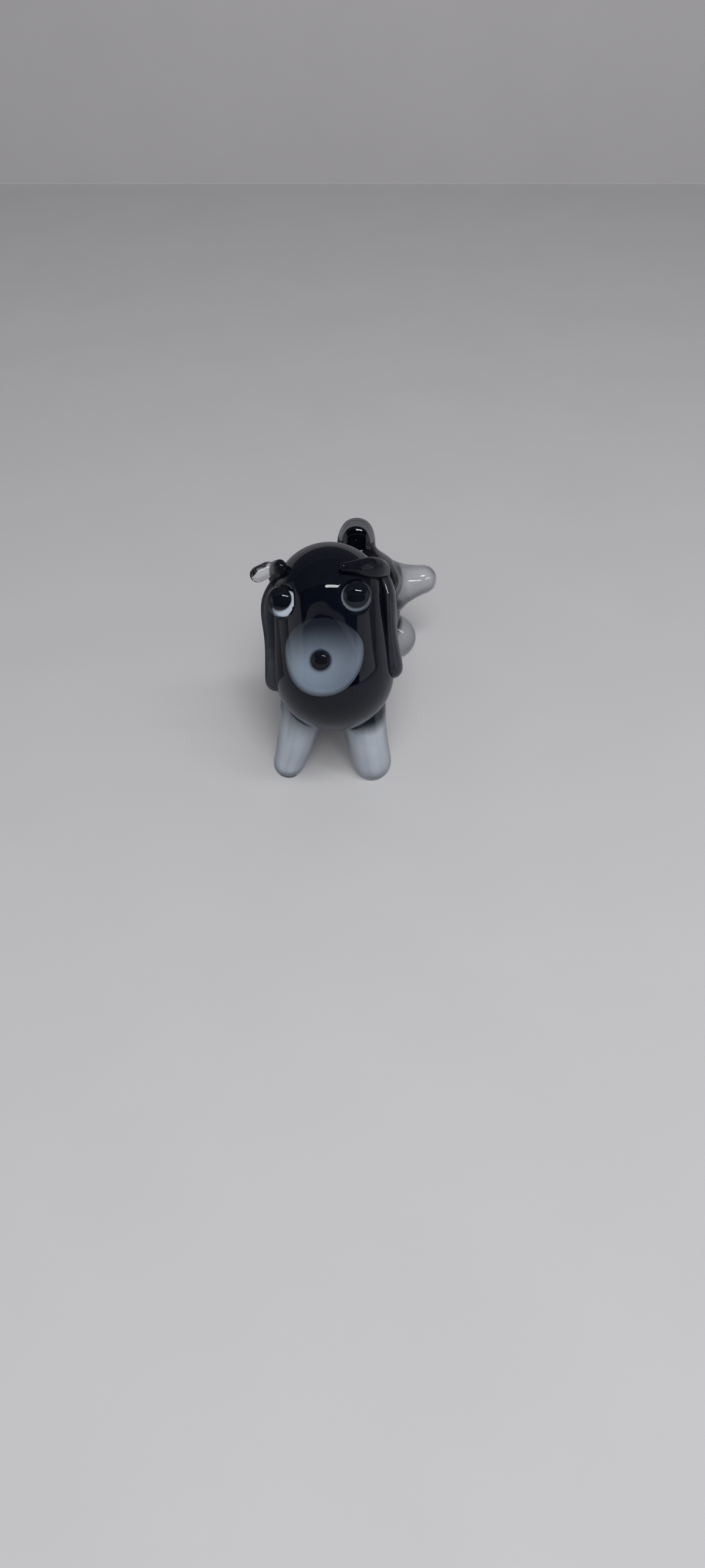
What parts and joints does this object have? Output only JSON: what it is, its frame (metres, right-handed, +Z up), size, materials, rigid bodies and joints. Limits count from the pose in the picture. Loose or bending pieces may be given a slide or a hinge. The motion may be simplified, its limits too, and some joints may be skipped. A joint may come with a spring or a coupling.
{
  "type": "glass dog figurine",
  "caption": "Miniature lampworked glass dog that sits over on one hip, with a black head and body and milky legs.",
  "frame": {"origin": "under the middle of the dog, on the surface that it sits on", "axes": "+Y from the feet in front to the tail, +X to the dog's own left, +Z up"},
  "size_m": [0.0238, 0.0402, 0.0289],
  "materials": {
    "black_glass": "fire polished, opaque",
    "clear_glass": "fire polished, clear",
    "opal_glass": "fire polished, milky"
  },
  "bodies": {
    "root": {"head_core": "black_glass", "head_casing": "clear_glass", "muzzle_patch": "opal_glass", "nose": "black_glass", "eye_white_left": "opal_glass", "eye_pupil_left": "black_glass", "eye_lens_left": "clear_glass", "eye_white_right": "opal_glass", "eye_pupil_right": "black_glass", "eye_lens_right": "clear_glass", "ear_root_left": "black_glass", "ear_flap_left": "black_glass", "ear_casing_left": "clear_glass", "ear_root_right": "black_glass", "ear_flap_right": "black_glass", "ear_casing_right": "clear_glass", "ear_tip_right": "clear_glass", "body_core": "black_glass", "body_casing": "clear_glass", "tail_core": "black_glass", "tail_casing": "clear_glass", "front_leg_core_left": "opal_glass", "front_leg_casing_left": "clear_glass", "front_leg_core_right": "opal_glass", "front_leg_casing_right": "clear_glass", "hind_leg_core_upper": "opal_glass", "hind_leg_casing_upper": "clear_glass", "hind_leg_core_lower": "opal_glass", "hind_leg_casing_lower": "clear_glass"}
  },
  "joints": []
}
